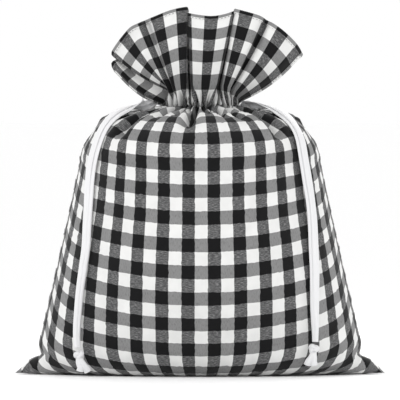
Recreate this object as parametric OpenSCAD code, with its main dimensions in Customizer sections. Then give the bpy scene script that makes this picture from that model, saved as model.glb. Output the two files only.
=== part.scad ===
// A drawstring gift sack of woven cloth, drawn shut at the neck.
//
// The sack stands on the floor (z = 0) and faces -Y. Two cloth panels meet in
// the plane y = 0: along a seam under the sack and up both sides. Above the
// neck each panel runs on as a loose flap, the heading. Two ribbons run through
// the casing round the neck, one leaving at the left slit and one at the right.

/* [Body] */
// Width across the foot
foot_w = 316; // [240:1:420]
// Depth of the foot, front to back
foot_d = 192; // [140:1:260]
// Width across the waist, half way up
waist_w = 270; // [200:1:360]
// Depth of the waist
waist_d = 240; // [160:1:320]
// Width across the shoulders
shoulder_w = 236; // [180:1:320]
// Depth of the shoulders
shoulder_d = 216; // [150:1:300]
// Height of the body, from the floor to the casing
body_h = 258; // [200:1:340]
// Share of the body's height that lies below the domed shoulder
shoulder_share = 0.8; // [0.6:0.01:0.9]
// Fullness of the domed shoulder: 1 is a plain ellipse, and less is fuller
dome_power = 0.8; // [0.6:0.05:1.2]
// Radius of the round where the front turns under the sack
foot_round = 30; // [16:1:44]
// Thickness of the cloth wall
wall = 2; // [1.4:0.1:2.6]

/* [Corner ears] */
// How far the tip of a bottom corner stands out past the foot
ear_len = 23; // [8:1:60]
// Height of an ear where it joins the side
ear_h = 18; // [10:1:28]
// How sharply an ear narrows, as a power
ear_point = 24; // [12:2:40]

/* [Neck] */
// Diameter of the gathered neck
neck_d = 76; // [60:1:96]
// Height of the casing's cloth above and below the ribbons' channel
casing_lip = 2; // [1.5:0.5:6]
// Number of gathered pleats round the neck
pleats = 36; // [20:2:48]
// Depth of one pleat
pleat_depth = 6; // [2:0.5:8]
// Width of the slit at each side that the ribbons leave through
slit_w = 8; // [7:0.5:10]

/* [Heading] */
// Height of a flap's hem above the middle of the casing
heading_h = 92; // [70:1:130]
// Width across the fan of a flap
heading_w = 184; // [130:1:240]
// Half the angle that a flap fans out over, from straight up
fan_angle = 70; // [50:1:76]
// How far the folds of a flap reach from the middle plane
heading_reach = 38; // [24:1:60]
// Number of folds across a flap
folds = 5; // [3:1:7]
// Depth of one fold at the hem
fold_depth = 20; // [8:1:28]
// Clear space between the two flaps at their sides
flap_gap = 5; // [3:0.5:12]
// Width of the folded hem along a flap's edges
hem_w = 5; // [3:0.5:9]
// Thickness of the folded hem
hem_t = 2.8; // [2.4:0.1:4]

/* [Seams] */
// Width of the seam allowance inside the sack
seam_w = 9; // [6:0.5:14]
// Thickness of the seam allowance
seam_t = 1.6; // [1:0.1:2.4]

/* [Ribbon] */
// Width of the ribbon
ribbon_w = 10; // [7:0.5:11]
// Thickness of the ribbon
ribbon_t = 0.9; // [0.6:0.1:1.2]
// Width that the ribbon is bunched to inside the casing
bunched_w = 5; // [4:0.5:6]
// Thickness of the bunched ribbon
bunched_t = 1.2; // [0.8:0.1:1.4]
// How far inside the neck's outside a ribbon's loop runs
loop_depth = 14; // [12:0.5:18]
// Diameter of the knot that joins a ribbon's two ends
knot_d = 11; // [9:0.5:13]
// Length of the cut ends below the knot
end_len = 13; // [8:1:16]

/* [Hidden] */

cloth_colour = [0.55, 0.55, 0.55];
hem_colour = [0.3, 0.3, 0.3];
seam_colour = [0.7, 0.7, 0.7];
ribbon_colour = [0.96, 0.96, 0.96];

neck_r = neck_d / 2;
loop_r = neck_r - loop_depth;
shoulder_z = body_h * shoulder_share;
waist_z = body_h / 2;
root_turn = 84;    // how far a flap's root reaches round the neck to each side, in degrees
clearance = 0.5;   // between a ribbon and the channel or slit that it lies in
loop_step = 0.5;   // half the space between the two loops, one above the other
channel_h = 2 * (loop_step + bunched_w + clearance);  // of the channel that both loops lie in
casing_h = channel_h + 2 * casing_lip;
casing_mid = body_h + casing_h / 2;
heading_z = body_h + casing_h;
strand_y = 1.6;    // how far each strand of a pair leaves the slit from its middle
arc_steps = 5;     // rows of the shell round the foot and over the shoulder
wall_steps = 6;    // rows of the shell up the wall
side_steps = 30;   // columns of a panel from side seam to side seam
seam_row = 0.7;    // share of the sack's width that the middle row of the flat foot spans
seam_inset = 0.03; // keeps a side seam out of the flat facets of the panels' inner faces
flap_rows = 8;     // rows of a flap from the neck to the hem
flap_cols = 60;    // columns of a flap from one slit to the other
strand_sides = 8;  // sides of a tail's flat section
flare = 6;         // rings over which a tail widens from its bunched width
knot_gap = 1.5;    // from the last point of a route down to the top of the knot
end_w = 7;         // width of each cut end
end_spread = 14;   // lean of the two cut ends away from each other, in degrees

// Routes of the ribbons' tails from the slit down to the knot, just off the cloth
left_route = [[-43, -3, 269], [-49, -9, 266], [-58, -16, 262], [-70, -25, 258], [-82, -35, 252],
    [-92, -46, 241], [-99, -54, 225], [-104, -58, 206], [-106, -61, 188], [-107, -67, 168],
    [-108, -72, 148], [-109, -76, 126], [-112, -76, 104], [-115, -75, 82], [-117, -73, 60],
    [-118, -72, 42], [-117, -73, 28]];
right_route = [[43, -3, 263], [49, -9, 262], [58, -15, 261], [70, -24, 258], [80, -33, 253],
    [89, -45, 244], [96, -56, 230], [100, -64, 208], [103, -66, 190], [106, -69, 170],
    [108, -72, 150], [109, -76, 126], [110, -78, 104], [110, -79, 82], [110, -78, 62],
    [110, -77, 46], [110, -77, 34]];
outer_lift = 1.9;  // of the strand that lies on top, off the one under it
outer_shift = 2.5; // of the top strand sideways, so that both strands show
left_turn = -12;   // lean of the left knot's cut ends, in degrees
right_turn = 10;   // lean of the right knot's cut ends

// ---- cloth shell -------------------------------------------------------

// A row of the shell: [height, half width, half depth, how far its normal points up, out]
foot_rows = [for (i = [0:arc_steps]) let (a = 90 * i / arc_steps)
    [foot_round * (1 - cos(a)), foot_w / 2 - foot_round * (1 - sin(a)),
     foot_d / 2 - foot_round * (1 - sin(a)), -cos(a), sin(a)]];
wall_rows = [for (i = [1:wall_steps]) let (z = foot_round + (shoulder_z - foot_round) * i / wall_steps)
    [z, through(z, foot_w, waist_w, shoulder_w) / 2, through(z, foot_d, waist_d, shoulder_d) / 2, 0, 1]];
dome_rows = [for (i = [1:arc_steps]) let (a = 90 * i / arc_steps)
    [shoulder_z + (body_h - shoulder_z) * sin(a),
     neck_r + (shoulder_w / 2 - neck_r) * pow(cos(a), dome_power),
     neck_r + (shoulder_d / 2 - neck_r) * pow(cos(a), dome_power),
     i < arc_steps ? sin(a) : 0, i < arc_steps ? cos(a) : 1]];
shell_rows = concat(foot_rows, wall_rows, dome_rows);

// A smooth curve up the wall, through a size at the foot, at the waist and at the shoulder
function through(z, foot, waist, shoulder) =
    foot * (z - waist_z) * (z - shoulder_z) / ((foot_round - waist_z) * (foot_round - shoulder_z))
    + waist * (z - foot_round) * (z - shoulder_z) / ((waist_z - foot_round) * (waist_z - shoulder_z))
    + shoulder * (z - foot_round) * (z - waist_z) / ((shoulder_z - foot_round) * (shoulder_z - waist_z));

// How far an ear stands out beyond the half width a, at height z
function ear_reach(z, a) = z < ear_h ? (foot_w / 2 + ear_len - a) * sqrt(1 - z / ear_h) : 0;

// A point of the shell at a row and an angle, moved in from the outside by depth.
// An ear is two layers of cloth pressed together, so the inside has none.
function shell_point(row, angle, depth) = let (
        a = row[1] - depth * row[4],
        b = row[2] - depth * row[4],
        ear = depth > 0 ? 0 : ear_reach(row[0], row[1]),
        spread = ear * pow(abs(cos(angle)), ear_point) * sign(cos(angle)))
    [a * cos(angle) + spread, b * sin(angle), row[0] - depth * row[3]];

// Every point of one face of the front panel, the seam under the sack first
function panel_face(depth) = let (
        angles = [for (i = [0:side_steps]) 180 + 180 * i / side_steps],
        first = [for (t = angles) shell_point(shell_rows[0], t, depth)])
    concat([[for (p = first) [p[0] * seam_row, 0, p[2]]]],
        [for (row = shell_rows) [for (t = angles) let (p = shell_point(row, t, depth))
            abs(sin(t)) < 0.001 ? [p[0], 0, p[2]] : p]]);

// A solid between two grids of points of the same size. The squares of the right half are
// split along their other diagonal, so that a row's two end triangles are never flat.
module between(outer, inner) {
    rows = len(outer);
    cols = len(outer[0]);
    count = rows * cols;
    quads = concat(
        [for (r = [0:rows - 2], c = [0:cols - 2]) turned([r * cols + c, r * cols + c + 1,
            (r + 1) * cols + c + 1, (r + 1) * cols + c], c >= cols / 2 - 1)],
        [for (r = [0:rows - 2], c = [0:cols - 2]) turned([count + r * cols + c, count + (r + 1) * cols + c,
            count + (r + 1) * cols + c + 1, count + r * cols + c + 1], c >= cols / 2 - 1)],
        [for (c = [0:cols - 2]) [c, count + c, count + c + 1, c + 1]],
        [for (c = [0:cols - 2]) let (k = (rows - 1) * cols + c) [k, k + 1, count + k + 1, count + k]],
        [for (r = [0:rows - 2]) let (k = r * cols) [k, k + cols, count + k + cols, count + k]],
        [for (r = [0:rows - 2]) let (k = r * cols + cols - 1) [k, count + k, count + k + cols, k + cols]]);
    faces = [for (q = quads) each [[q[0], q[1], q[2]], [q[0], q[2], q[3]]]];
    polyhedron(concat([for (row = outer) each row], [for (row = inner) each row]), faces);
}
function turned(q, turn) = turn ? [q[1], q[2], q[3], q[0]] : q;

module panel() between(panel_face(0), panel_face(wall));

module front_panel() color(cloth_colour) panel();

module back_panel() color(cloth_colour) mirror([0, 1, 0]) panel();

// ---- seam allowances, inside -------------------------------------------

module bottom_seam() color(seam_colour)
    translate([-(foot_w / 2 - foot_round), -seam_t / 2, wall])
        cube([foot_w - 2 * foot_round, seam_t, seam_w]);

// The allowance follows the wall's inner face from above the foot to the casing
module side_seam() {
    rows = concat([foot_rows[arc_steps]], wall_rows, dome_rows);
    outer = [for (row = rows) let (p = shell_point(row, 0, wall + seam_inset)) [p[0], p[2]]];
    inner = [for (row = rows) let (p = shell_point(row, 0, wall + seam_w)) [p[0], p[2]]];
    last = len(rows) - 1;
    edge = [for (i = [last:-1:0]) i == last ? [neck_r - wall - seam_t, outer[i][1]] : inner[i]];
    rotate([90, 0, 0]) linear_extrude(seam_t, center = true) polygon(concat(outer, edge));
}

module left_side_seam() color(seam_colour) mirror([1, 0, 0]) side_seam();

module right_side_seam() color(seam_colour) side_seam();

// ---- casing ------------------------------------------------------------

// Half of the gathered neck, with the channel for the ribbons and a slit at each side
module casing() {
    steps = pleats * 3;
    pleated = [for (i = [0:steps]) let (t = 180 + 180 * i / steps)
        (neck_r - pleat_depth * (1 - cos(t * pleats)) / 2) * [cos(t), sin(t)]];
    difference() {
        translate([0, 0, body_h]) linear_extrude(casing_h) polygon(pleated);
        translate([0, 0, casing_mid - channel_h / 2]) rotate_extrude($fn = 96)
            translate([loop_r - bunched_t / 2 - clearance, 0])
                square([bunched_t + 2 * clearance, channel_h]);
        for (side = [-1, 1])
            translate([side * (loop_r + neck_r) / 2, 0, casing_mid])
                cube([neck_r - loop_r + bunched_t + 2 * clearance, slit_w, channel_h], center = true);
    }
}

module front_casing() color(cloth_colour) casing();

module back_casing() color(cloth_colour) mirror([0, 1, 0]) casing();

// ---- heading -----------------------------------------------------------

// A point of the front flap: u runs from the left edge to the right, v from the neck to the hem
function flap_point(u, v, depth) = let (
        turn = root_turn * (2 * u - 1),
        fan = fan_angle * (2 * u - 1),
        root_r = neck_r - pleat_depth - wall,
        root = [root_r * sin(turn), -root_r * cos(turn), heading_z],
        full = heading_reach - flap_gap - fold_depth,
        out = flap_gap + full * cos(fan) + fold_depth * (1 - cos(360 * folds * u)) / 2,
        hem = [heading_w / 2 * sin(fan) / sin(fan_angle), -out, casing_mid + heading_h * cos(fan)],
        inward = (1 - v) * [-sin(turn), cos(turn), 0] + v * [0, 1, 0])
    root + (hem - root) * v + inward * depth;

// Part of the front flap, between two places across it and two along it
module flap(across, along, thick) {
    cols = ceil(flap_cols * (across[1] - across[0]));
    rows = ceil(flap_rows * (along[1] - along[0]));
    outer = [for (j = [0:rows]) [for (i = [0:cols])
        flap_point(across[0] + (across[1] - across[0]) * i / cols,
            along[0] + (along[1] - along[0]) * j / rows, (wall - thick) / 2)]];
    inner = [for (j = [0:rows]) [for (i = [0:cols])
        flap_point(across[0] + (across[1] - across[0]) * i / cols,
            along[0] + (along[1] - along[0]) * j / rows, (wall + thick) / 2)]];
    between(outer, inner);
}

fan_length = heading_h * 2 * fan_angle * PI / 180;  // along a flap's hem, folds left out
hem_v = 1 - hem_w / heading_h;                      // where the top hem starts, along a flap
hem_u = hem_w / fan_length;                         // width of a slit hem, as a share of a flap

module front_heading() color(cloth_colour) flap([hem_u, 1 - hem_u], [0, hem_v], wall);

module back_heading() color(cloth_colour) mirror([0, 1, 0]) flap([hem_u, 1 - hem_u], [0, hem_v], wall);

module front_top_hem() color(hem_colour) flap([0, 1], [hem_v, 1], hem_t);

module back_top_hem() color(hem_colour) mirror([0, 1, 0]) flap([0, 1], [hem_v, 1], hem_t);

module front_left_slit_hem() color(hem_colour) flap([0, hem_u], [0, hem_v], hem_t);

module front_right_slit_hem() color(hem_colour) flap([1 - hem_u, 1], [0, hem_v], hem_t);

module back_left_slit_hem() color(hem_colour) mirror([0, 1, 0]) flap([0, hem_u], [0, hem_v], hem_t);

module back_right_slit_hem() color(hem_colour) mirror([0, 1, 0]) flap([1 - hem_u, 1], [0, hem_v], hem_t);

// ---- ribbons -----------------------------------------------------------

// One ribbon inside the casing: a loop open at the right, and two strands out through the slit
module ribbon_loop(low) {
    open_angle = asin(strand_y / loop_r);
    translate([0, 0, low]) {
        rotate([0, 0, open_angle]) rotate_extrude(angle = 360 - 2 * open_angle, $fn = 96)
            translate([loop_r - bunched_t / 2, 0]) square([bunched_t, bunched_w]);
        for (side = [-1, 1])
            translate([loop_r * cos(open_angle), side * strand_y - bunched_t / 2, 0])
                cube([neck_r - loop_r, bunched_t, bunched_w]);
    }
}

module left_ribbon_loop() color(ribbon_colour)
    mirror([1, 0, 0]) ribbon_loop(casing_mid + loop_step);

module right_ribbon_loop() color(ribbon_colour)
    ribbon_loop(casing_mid - loop_step - bunched_w);

// A smooth curve through a route's points, with steps pieces between each two
function smooth_route(p, steps) = let (n = len(p) - 1) concat(
    [for (i = [0:n - 1], k = [0:steps - 1]) let (
        a = p[max(i - 1, 0)], b = p[i], c = p[i + 1], d = p[min(i + 2, n)], t = k / steps)
        0.5 * (2 * b + (c - a) * t + (2 * a - 5 * b + 4 * c - d) * t * t
            + (3 * b - a - 3 * c + d) * t * t * t)], [p[n]]);
function unit(v) = v / norm(v);

// Outward direction of the cloth under a point of the body, which is close to an ellipsoid
function cloth_normal(p) = unit([p[0] / pow(waist_w, 2), p[1] / pow(waist_d, 2),
    max(0, p[2] - waist_z) / pow(body_h, 2)]);

// A flat strand along a route, raised off it along the cloth's normal and shifted sideways
module strand(route, lift, shift) {
    line = smooth_route(route, 2);
    n = len(line) - 1;
    half_turn = 180 / strand_sides;
    rings = [for (i = [0:n]) let (
        along = unit(line[min(i + 1, n)] - line[max(i - 1, 0)]),
        side = unit(cross(along, cloth_normal(line[i]))),
        up = cross(side, along),
        flared = min(1, i / flare),
        w = bunched_w + (ribbon_w - bunched_w) * flared,
        middle = line[i] + up * lift + side * shift * flared)
        [for (k = [0:strand_sides - 1]) let (t = half_turn + 2 * half_turn * k)
            middle + side * w / 2 * cos(t) / cos(half_turn)
                + up * ribbon_t / 2 * sin(t) / cos(half_turn)]];
    points = [for (ring = rings) each ring];
    walls = [for (i = [0:n - 1], k = [0:strand_sides - 1]) let (
            a = i * strand_sides + k, b = i * strand_sides + (k + 1) % strand_sides)
        each [[a, b, b + strand_sides], [a, b + strand_sides, a + strand_sides]]];
    first = [for (k = [strand_sides - 1:-1:0]) k];
    last = [for (k = [0:strand_sides - 1]) n * strand_sides + k];
    polyhedron(points, concat(walls, [first, last]));
}

// The middle of the knot, below the last point of a route
function knot_place(route) = route[len(route) - 1] - [0, 0, knot_d / 2 + knot_gap];

module knot(route) translate(knot_place(route)) sphere(d = knot_d, $fn = 32);

// The two cut ends below a knot, leaning and spread a little
module ribbon_ends(route, lean) translate(knot_place(route))
    for (side = [-1, 1])
        rotate([0, lean + side * end_spread, 0])
            translate([-end_w / 2, side * ribbon_t - ribbon_t / 2, -knot_d / 4 - end_len])
                cube([end_w, ribbon_t, end_len]);

module left_ribbon_outer_tail() color(ribbon_colour) strand(left_route, outer_lift, outer_shift);

module left_ribbon_inner_tail() color(ribbon_colour) strand(left_route, 0, -outer_shift / 2);

module left_knot() color(ribbon_colour) knot(left_route);

module left_ribbon_ends() color(ribbon_colour) ribbon_ends(left_route, left_turn);

module right_ribbon_outer_tail() color(ribbon_colour) strand(right_route, outer_lift, -outer_shift);

module right_ribbon_inner_tail() color(ribbon_colour) strand(right_route, 0, outer_shift / 2);

module right_knot() color(ribbon_colour) knot(right_route);

module right_ribbon_ends() color(ribbon_colour) ribbon_ends(right_route, right_turn);

front_panel();
back_panel();
bottom_seam();
left_side_seam();
right_side_seam();
front_casing();
back_casing();
front_heading();
back_heading();
front_top_hem();
back_top_hem();
front_left_slit_hem();
front_right_slit_hem();
back_left_slit_hem();
back_right_slit_hem();
left_ribbon_loop();
right_ribbon_loop();
left_ribbon_outer_tail();
left_ribbon_inner_tail();
left_knot();
left_ribbon_ends();
right_ribbon_outer_tail();
right_ribbon_inner_tail();
right_knot();
right_ribbon_ends();
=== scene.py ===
# %% [markdown]
# # A drawstring gift sack of checked cloth
#
# The sack is two rectangles of woven cloth, sewn together along the bottom and up both sides. Near
# the top, a casing round the neck holds two ribbons. Drawn tight, they gather more than 800 mm of
# cloth into a neck as wide as a fist, and the cloth above it fans out into the heading.
#
# This lesson builds it in Blender the way it is sewn: a flat pattern first, then a filled and
# gathered shape, a cloth simulation that lets the folds settle, and last the sewing and the ribbons.

# %% Load the frame
import math

import bmesh
import bpy
import numpy as np
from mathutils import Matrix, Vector
from mathutils.bvhtree import BVHTree


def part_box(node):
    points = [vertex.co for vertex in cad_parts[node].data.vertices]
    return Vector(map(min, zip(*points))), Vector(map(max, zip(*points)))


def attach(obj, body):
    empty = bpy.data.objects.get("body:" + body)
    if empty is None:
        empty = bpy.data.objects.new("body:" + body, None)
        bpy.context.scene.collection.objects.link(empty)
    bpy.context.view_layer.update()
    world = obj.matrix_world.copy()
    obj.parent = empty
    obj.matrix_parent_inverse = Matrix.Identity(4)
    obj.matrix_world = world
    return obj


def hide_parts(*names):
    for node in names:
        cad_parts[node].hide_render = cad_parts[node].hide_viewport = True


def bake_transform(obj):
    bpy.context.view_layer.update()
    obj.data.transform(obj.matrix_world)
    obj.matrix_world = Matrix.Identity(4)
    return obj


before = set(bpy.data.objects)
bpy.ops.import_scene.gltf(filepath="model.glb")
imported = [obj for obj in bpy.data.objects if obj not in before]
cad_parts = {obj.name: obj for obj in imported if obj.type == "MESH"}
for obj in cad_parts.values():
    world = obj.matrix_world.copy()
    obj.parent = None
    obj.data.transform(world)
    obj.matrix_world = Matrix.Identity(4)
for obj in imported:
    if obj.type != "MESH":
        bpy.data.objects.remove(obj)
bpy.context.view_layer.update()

# %% [markdown]
# ## Camera, floor and light
#
# A check shows every bent line, so the camera stands far away with a long lens, which keeps the
# cloth's lines straight. Soft lights from above and a pale floor keep the shadows short.

# %% Camera
VIEW_WIDTH = 0.3908
CAMERA_HEIGHT = 0.1700
CAMERA_RISE = math.radians(1.0)
CAMERA_DISTANCE = 8.0
SENSOR = 36.0


def new_object(name, data):
    """A new object that is in the scene."""
    thing = bpy.data.objects.new(name, data)
    bpy.context.scene.collection.objects.link(thing)
    return thing


def aim(thing, target):
    """Turns a lamp or camera so that it looks at a point."""
    towards = Vector(target) - thing.location
    thing.rotation_euler = towards.to_track_quat("-Z", "Y").to_euler()


camera = new_object("camera", bpy.data.cameras.new("camera"))
bpy.context.scene.camera = camera
camera.data.sensor_width = SENSOR
camera.data.lens = SENSOR * CAMERA_DISTANCE / VIEW_WIDTH
camera.data.clip_end = 60.0
aim_point = Vector((0.0, 0.0, CAMERA_HEIGHT))
camera.location = aim_point + CAMERA_DISTANCE * Vector((0, -math.cos(CAMERA_RISE), math.sin(CAMERA_RISE)))
aim(camera, aim_point)
print("lens in mm:", round(camera.data.lens, 1))

# %% Floor and lights
FLOOR_SIZE = 60
FLOOR_WHITE = (0.995, 0.995, 0.995, 1)
SKY = 1.0
LAMPS = [("key_light", (-0.9, -1.2, 1.3), 0.9, 5),
         ("fill_light", (1.2, -1.1, 0.8), 1.2, 1.5),
         ("back_light", (0.2, 1.3, 1.4), 1.2, 12)]
bpy.context.scene.view_settings.view_transform = "Standard"


def area_light(name, place, size, power):
    """A square soft light of a size in metres and a power in watts, which faces the sack."""
    lamp = new_object(name, bpy.data.lights.new(name, "AREA"))
    lamp.data.size = size
    lamp.data.energy = power
    lamp.location = place
    aim(lamp, (0, 0, 0.15))


bpy.ops.mesh.primitive_plane_add(size=FLOOR_SIZE, location=(0, 0, 0))
floor = bpy.context.object
floor.name = "floor"
floor_finish = bpy.data.materials.new("floor_paper")
floor_finish.use_nodes = True
floor_shader = floor_finish.node_tree.nodes["Principled BSDF"]
floor_shader.inputs["Base Color"].default_value = FLOOR_WHITE
floor_shader.inputs["Roughness"].default_value = 0.9
floor.data.materials.append(floor_finish)

for name, place, size, power in LAMPS:
    area_light(name, place, size, power)
world = bpy.data.worlds.new("studio")
bpy.context.scene.world = world
world.use_nodes = True
world.node_tree.nodes["Background"].inputs["Color"].default_value = (1, 1, 1, 1)
world.node_tree.nodes["Background"].inputs["Strength"].default_value = SKY

# %% [markdown]
# ## The ribbons' routes
#
# A ribbon is a cord: a fixed length of something limp. Each side has two strands that leave the
# casing through its slit, bend over the shoulder and hang against the cloth down to a knot. The
# points below are the line that both strands follow, in mm, and the knot hangs under the last.

# %% Routes
MM = 0.001
left_route = [(-43, -3, 269), (-49, -9, 266), (-58, -16, 262), (-70, -25, 258), (-82, -35, 252),
              (-92, -46, 241), (-99, -54, 225), (-104, -58, 206), (-106, -61, 188), (-107, -67, 168),
              (-108, -72, 148), (-109, -76, 126), (-112, -76, 104), (-115, -75, 82), (-117, -73, 60),
              (-118, -72, 42), (-117, -73, 28)]
right_route = [(43, -3, 263), (49, -9, 262), (58, -15, 261), (70, -24, 258), (80, -33, 253),
               (89, -45, 244), (96, -56, 230), (100, -64, 208), (103, -66, 190), (106, -69, 170),
               (108, -72, 150), (109, -76, 126), (110, -78, 104), (110, -79, 82), (110, -78, 62),
               (110, -77, 46), (110, -77, 34)]


def smooth_line(points, steps):
    """A Catmull-Rom curve through the points, with steps pieces between each two."""
    p = np.array(points, float)
    last = len(p) - 1
    line = []
    for i in range(last):
        a, b, c, d = p[max(i - 1, 0)], p[i], p[i + 1], p[min(i + 2, last)]
        for k in range(steps):
            t = k / steps
            line.append(0.5 * (2 * b + (c - a) * t + (2 * a - 5 * b + 4 * c - d) * t * t
                               + (3 * b - a - 3 * c + d) * t ** 3))
    line.append(p[last])
    return np.array(line)


def distances(line):
    """How far along a line each of its points lies."""
    return np.concatenate([[0], np.cumsum(np.linalg.norm(np.diff(line, axis=0), axis=1))])


def length_of(line):
    """Length of a line of points."""
    return float(np.linalg.norm(np.diff(line, axis=0), axis=1).sum())


for side, route in (("left", left_route), ("right", right_route)):
    print(side, "route", round(length_of(smooth_line(route, 6))), "mm outside the slit")

# %% [markdown]
# ## The flat pattern
#
# Cloth hardly stretches, so the work starts from its pattern. Each panel is cut 406 mm wide, which is
# 16 repeats of a check that repeats every 25.4 mm. Its height has three parts: the body from the
# bottom seam to the casing, the casing, and the heading up to the top hem.

# %% Pattern
PANEL_WIDTH = 0.406
BODY_CLOTH = 0.383
CASING_CLOTH = 0.015
HEADING_CLOTH = 0.085
CLOTH_TOP = BODY_CLOTH + CASING_CLOTH + HEADING_CLOTH
COLUMNS = 132
ROW_HEIGHT = PANEL_WIDTH / COLUMNS


def rows_of(length):
    """How many rows of the grid a stretch of cloth takes."""
    return round(length / ROW_HEIGHT)


body_rows = rows_of(BODY_CLOTH)
casing_rows = rows_of(CASING_CLOTH)
heading_rows = rows_of(HEADING_CLOTH)
across = np.linspace(-PANEL_WIDTH / 2, PANEL_WIDTH / 2, COLUMNS + 1)
share = np.linspace(0, 1, COLUMNS + 1)
along = np.concatenate([
    np.linspace(0, BODY_CLOTH, body_rows + 1),
    BODY_CLOTH + np.linspace(0, CASING_CLOTH, casing_rows + 1)[1:],
    BODY_CLOTH + CASING_CLOTH + np.linspace(0, HEADING_CLOTH, heading_rows + 1)[1:]])
print("grid of one panel:", COLUMNS, "by", len(along) - 1, "cells of", round(ROW_HEIGHT * 1000, 2), "mm")

# %% [markdown]
# ## The filled shape
#
# Stuffed, the sack rounds out: flat underneath, fullest low down, domed at the shoulder. The frame
# holds that form: its height, corners and neck are read from the CAD nodes' boxes, and the half sizes
# at the foot, waist and shoulder are those of the CAD panels. The shape is laid out as level rings,
# each an ellipse, and each column of cloth runs over the rings from the bottom seam to the neck.

# %% Sizes from the frame
panel_high = np.array(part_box("front_panel")[1])
casing_high = np.array(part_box("front_casing")[1])
EAR_TIP = panel_high[0]
NECK_Z = panel_high[2]
CASING_TOP = casing_high[2]
PLEAT_WAVE = 0.0045
neck_ring = casing_high[0] - PLEAT_WAVE
FOOT_ROUND = 0.030
FOOT = (0.158, 0.096)
WAIST = (0.135, 0.120)
SHOULDER = (0.118, 0.108)
SHOULDER_Z = 0.8 * NECK_Z
DOME_POWER = 0.8
EAR_HEIGHT = 0.018
EAR_SHARPNESS = 24
print("neck at", round(NECK_Z, 3), "ring radius", round(neck_ring, 4))

# %% Rings of the filled body


def through(z, foot, waist, shoulder):
    """A smooth curve up the wall, through a size at the foot, the waist and the shoulder."""
    a, b, c = FOOT_ROUND, NECK_Z / 2, SHOULDER_Z
    return (foot * (z - b) * (z - c) / ((a - b) * (a - c))
            + waist * (z - a) * (z - c) / ((b - a) * (b - c))
            + shoulder * (z - a) * (z - b) / ((c - a) * (c - b)))


rings = []
for turn in np.linspace(0, math.pi / 2, 9):
    tuck = FOOT_ROUND * (1 - math.sin(turn))
    rings.append((FOOT_ROUND * (1 - math.cos(turn)), FOOT[0] - tuck, FOOT[1] - tuck))
for z in np.linspace(FOOT_ROUND, SHOULDER_Z, 17)[1:]:
    wide, deep = (through(z, *sizes) for sizes in zip(FOOT, WAIST, SHOULDER))
    rings.append((z, wide, deep))
for turn in np.linspace(0, math.pi / 2, 17)[1:]:
    full = max(math.cos(turn), 0) ** DOME_POWER
    rings.append((SHOULDER_Z + (NECK_Z - SHOULDER_Z) * math.sin(turn),
                  neck_ring + (SHOULDER[0] - neck_ring) * full,
                  neck_ring + (SHOULDER[1] - neck_ring) * full))
print(len(rings), "rings")

# %% Columns of cloth over the rings
SIDE_EASE = 0.14
EASE_START = 0.15
EASE_FULL = 0.24


def smooth_step(x, low, high):
    """Rises smoothly from 0 to 1 between low and high."""
    t = np.clip((x - low) / (high - low), 0, 1)
    return t * t * (3 - 2 * t)


def ring_angles(a, b, ease):
    """The angle at each column. The front keeps its full width, and the sides take up the ease."""
    turn = np.linspace(math.pi, 2 * math.pi, 361)
    steps = np.hypot(np.diff(a * np.cos(turn)), np.diff(b * np.sin(turn)))
    run = np.concatenate([[0], np.cumsum(steps)])
    eased = share - ease * np.sin(2 * math.pi * share) / (2 * math.pi)
    return np.interp(eased * run[-1], run, turn)


layers = []
for z, a, b in rings:
    turn = ring_angles(a, b, SIDE_EASE * smooth_step(z, EASE_START, EASE_FULL))
    x = a * np.cos(turn)
    if z < EAR_HEIGHT:
        reach = (EAR_TIP - a) * math.sqrt(1 - z / EAR_HEIGHT)
        x = x + reach * np.abs(np.cos(turn)) ** EAR_SHARPNESS * np.sign(np.cos(turn))
    layers.append(np.stack([x, b * np.sin(turn), np.full_like(x, z)], 1))
seam_x = layers[0][:, 0]
layers.insert(0, np.stack([seam_x, np.zeros_like(seam_x), np.zeros_like(seam_x)], 1))
layers = np.array(layers)

panel = np.zeros((len(along), COLUMNS + 1, 3))
for i in range(COLUMNS + 1):
    column = layers[:, i]
    run = distances(column)
    reached = along[:body_rows + 1] / BODY_CLOTH * run[-1]
    for k in range(3):
        panel[:body_rows + 1, i, k] = np.interp(reached, run, column[:, k])
print("front column runs", round(float(run[-1]) * 1000), "mm at the side seam")

# %% [markdown]
# ## The heading
#
# Above the casing the panel fans out again. Its top edge is about as long as the panel is wide, so it
# has to fold: a flat face in the middle turned to the front, a big lobe on each side, and a deep valley
# between. Each pair below is a point of the top hem and the point of the neck that it rises from,
# in millimetres, from the left slit round the front to the right one.

# %% Line of the hem and of the neck under it
heading_pairs = [
    ((-84, -7, 297), (-30, 0, 261)), ((-86, -23, 304), (-30, -9, 262)),
    ((-79, -13, 309), (-20, -8, 270)), ((-86, -23, 314), (-22, -16, 274)),
    ((-70, -39, 336), (-25, -19, 272)), ((-60, -43, 342), (-27, -22, 269)),
    ((-53, -31, 345), (-21, -17, 269)), ((-46, -43, 348), (-24, -25, 269)),
    ((-28, -45, 355), (-20, -29, 270)), ((-13, -44, 358), (-14, -32, 271)),
    ((-14, -30, 356), (-11, -24, 271)), ((-16, -17, 354), (-9, -14, 271)),
    ((-13, -30, 353), (-8, -24, 271)), ((-11, -42, 352), (-8, -35, 271)),
    ((0, -47, 350), (-2, -38, 271)), ((12, -48, 349), (5, -38, 271)),
    ((24, -46, 351), (11, -37, 271)), ((33, -41, 354), (15, -33, 271)),
    ((36, -23, 355), (14, -20, 271)), ((37, -6, 355), (13, -9, 271)),
    ((35, -24, 356), (16, -19, 270)), ((35, -43, 356), (19, -30, 270)),
    ((50, -46, 352), (22, -29, 269)), ((59, -44, 349), (25, -27, 269)),
    ((65, -32, 345), (22, -18, 268)), ((71, -43, 342), (27, -22, 267)),
    ((82, -42, 334), (29, -18, 266)), ((94, -34, 322), (30, -10, 264)),
    ((100, -20, 312), (31, 0, 262))]


def evened(points):
    """A smooth line through the points, cut into as many equal steps as the cloth has columns."""
    line = smooth_line(points, 8) * MM
    run = distances(line)
    return np.stack([np.interp(share * run[-1], run, line[:, k]) for k in range(3)], 1)


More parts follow.
